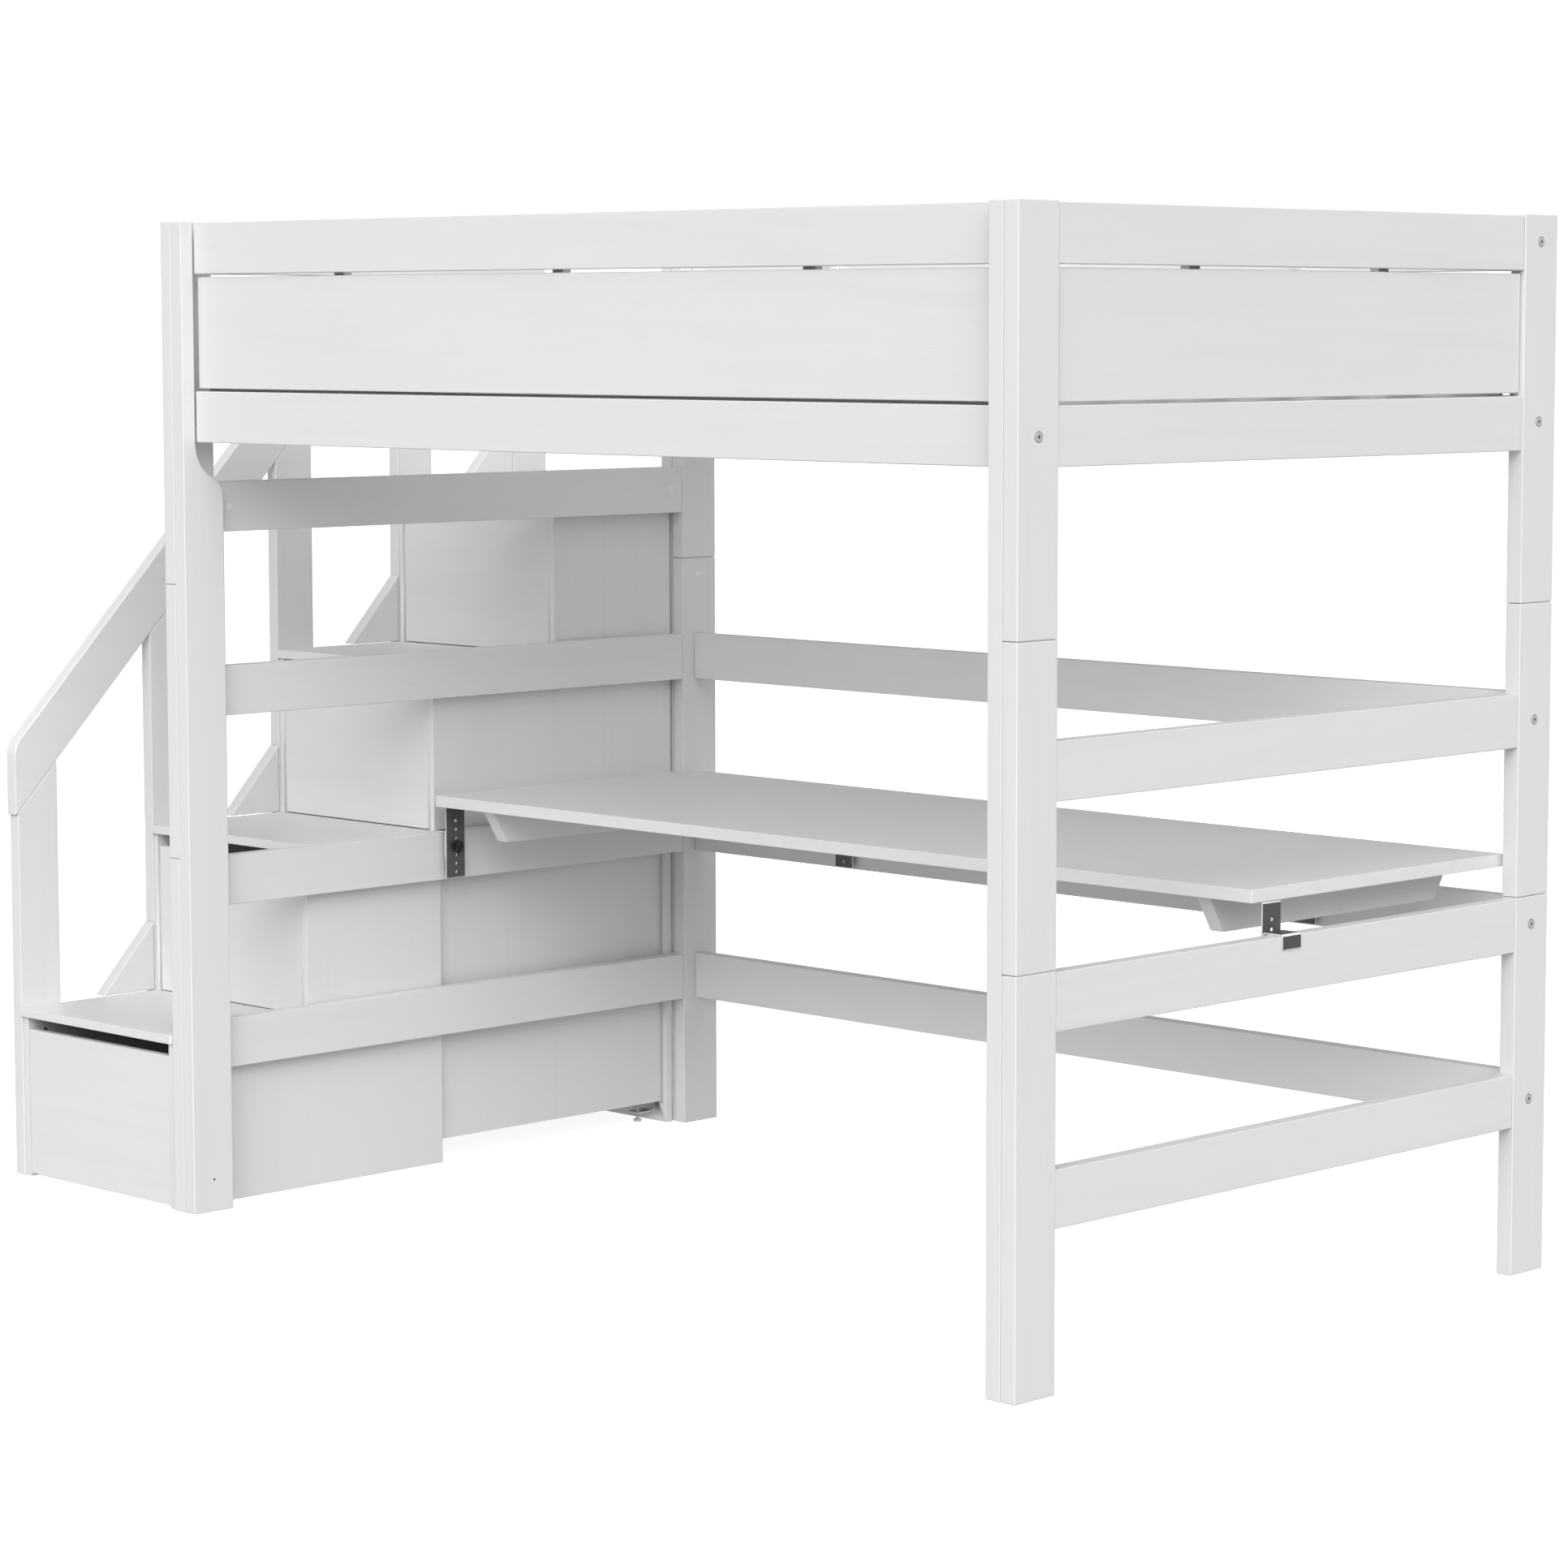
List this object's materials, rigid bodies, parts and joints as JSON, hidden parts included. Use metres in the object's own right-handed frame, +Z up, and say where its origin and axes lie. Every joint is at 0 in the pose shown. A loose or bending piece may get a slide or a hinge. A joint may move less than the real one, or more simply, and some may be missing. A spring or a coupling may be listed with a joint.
{
  "type": "loft bed with desk",
  "caption": "High loft bed with panelled guard rails over a hook-mounted height-adjustable desk, with a drawer staircase and sloped handrail on its left end.",
  "frame": {"origin": "bottom centre of the whole object's box, on the floor", "axes": "+X along the bed towards the end without stairs, +Y from the open front to the back rails, +Z up"},
  "size_m": [2.5712, 1.343, 1.79],
  "materials": {
    "white_lacquer": "white satin lacquer on fine-grained wood",
    "base_lacquer": "white lacquered slats",
    "bracket_steel": "dark zinc-plated sheet steel",
    "knob_plastic": "black moulded plastic"
  },
  "bodies": {
    "bed_frame": {"back_bed_rail": "white_lacquer", "back_desk_rail": "white_lacquer", "back_low_rail": "white_lacquer", "back_mid_rail": "white_lacquer", "back_panel": "white_lacquer", "back_top_rail": "white_lacquer", "desk_hook_end_left": "bracket_steel", "desk_hook_end_right": "bracket_steel", "desk_hook_rear_left": "bracket_steel", "desk_hook_rear_right": "bracket_steel", "front_bed_rail": "white_lacquer", "front_panel": "white_lacquer", "front_top_rail": "white_lacquer", "inner_board_left": "white_lacquer", "inner_board_right": "white_lacquer", "left_bed_rail": "white_lacquer", "left_desk_rail": "white_lacquer", "left_entry_guard": "white_lacquer", "left_high_rail": "white_lacquer", "left_low_rail": "white_lacquer", "left_mid_rail": "white_lacquer", "post_back_left": "white_lacquer", "post_back_right": "white_lacquer", "post_front_left": "white_lacquer", "post_front_right": "white_lacquer", "right_bed_rail": "white_lacquer", "right_desk_rail": "white_lacquer", "right_low_rail": "white_lacquer", "right_mid_rail": "white_lacquer", "right_panel": "white_lacquer", "right_top_rail": "white_lacquer", "slatted_base": "base_lacquer", "stair_case_high": "white_lacquer", "stair_case_low": "white_lacquer", "stair_handrail": "white_lacquer", "stair_post_1": "white_lacquer", "stair_post_2": "white_lacquer", "stair_post_3": "white_lacquer", "stair_post_4": "white_lacquer", "stair_post_5": "white_lacquer", "stair_support": "white_lacquer", "stair_tread_1": "white_lacquer", "stair_tread_2": "white_lacquer", "stair_tread_3": "white_lacquer", "stair_tread_4": "white_lacquer"},
    "desk": {"desktop": "white_lacquer", "desk_batten_left": "white_lacquer", "desk_batten_right": "white_lacquer", "desk_plate_end_left": "bracket_steel", "desk_plate_end_right": "bracket_steel", "desk_plate_rear_left": "bracket_steel", "desk_plate_rear_right": "bracket_steel"},
    "knob_end_left": {"desk_knob_end_left": "knob_plastic"},
    "knob_end_right": {"desk_knob_end_right": "knob_plastic"},
    "knob_rear_left": {"desk_knob_rear_left": "knob_plastic"},
    "knob_rear_right": {"desk_knob_rear_right": "knob_plastic"},
    "drawer_1": {"stair_drawer_1": "white_lacquer"},
    "drawer_2": {"stair_drawer_2": "white_lacquer"},
    "drawer_3": {"stair_drawer_3": "white_lacquer"},
    "drawer_4": {"stair_drawer_4": "white_lacquer"}
  },
  "joints": [
    {"name": "desk_height", "type": "slide", "parent": "bed_frame", "child": "desk", "axis": [0, 0, 1], "range_m": [-0.0163, 0.0163]},
    {"name": "knob_end_left_turn", "type": "hinge", "parent": "desk", "child": "knob_end_left", "pos_m": [-0.7455, -0.0285, 0.6172], "axis": [1, 0, 0], "continuous": true},
    {"name": "knob_end_right_turn", "type": "hinge", "parent": "desk", "child": "knob_end_right", "pos_m": [1.2443, -0.0205, 0.6172], "axis": [1, 0, 0], "continuous": true},
    {"name": "knob_rear_left_turn", "type": "hinge", "parent": "desk", "child": "knob_rear_left", "pos_m": [-0.3206, 0.6012, 0.6172], "axis": [0, 1, 0], "continuous": true},
    {"name": "knob_rear_right_turn", "type": "hinge", "parent": "desk", "child": "knob_rear_right", "pos_m": [0.8194, 0.6012, 0.6172], "axis": [0, 1, 0], "continuous": true},
    {"name": "drawer_1_slide", "type": "slide", "parent": "bed_frame", "child": "drawer_1", "axis": [0, -1, 0], "range_m": [0, 0.45]},
    {"name": "drawer_2_slide", "type": "slide", "parent": "bed_frame", "child": "drawer_2", "axis": [0, -1, 0], "range_m": [0, 0.22]},
    {"name": "drawer_3_slide", "type": "slide", "parent": "bed_frame", "child": "drawer_3", "axis": [0, -1, 0], "range_m": [0, 0.43]},
    {"name": "drawer_4_slide", "type": "slide", "parent": "bed_frame", "child": "drawer_4", "axis": [0, -1, 0], "range_m": [0, 0.2]}
  ]
}
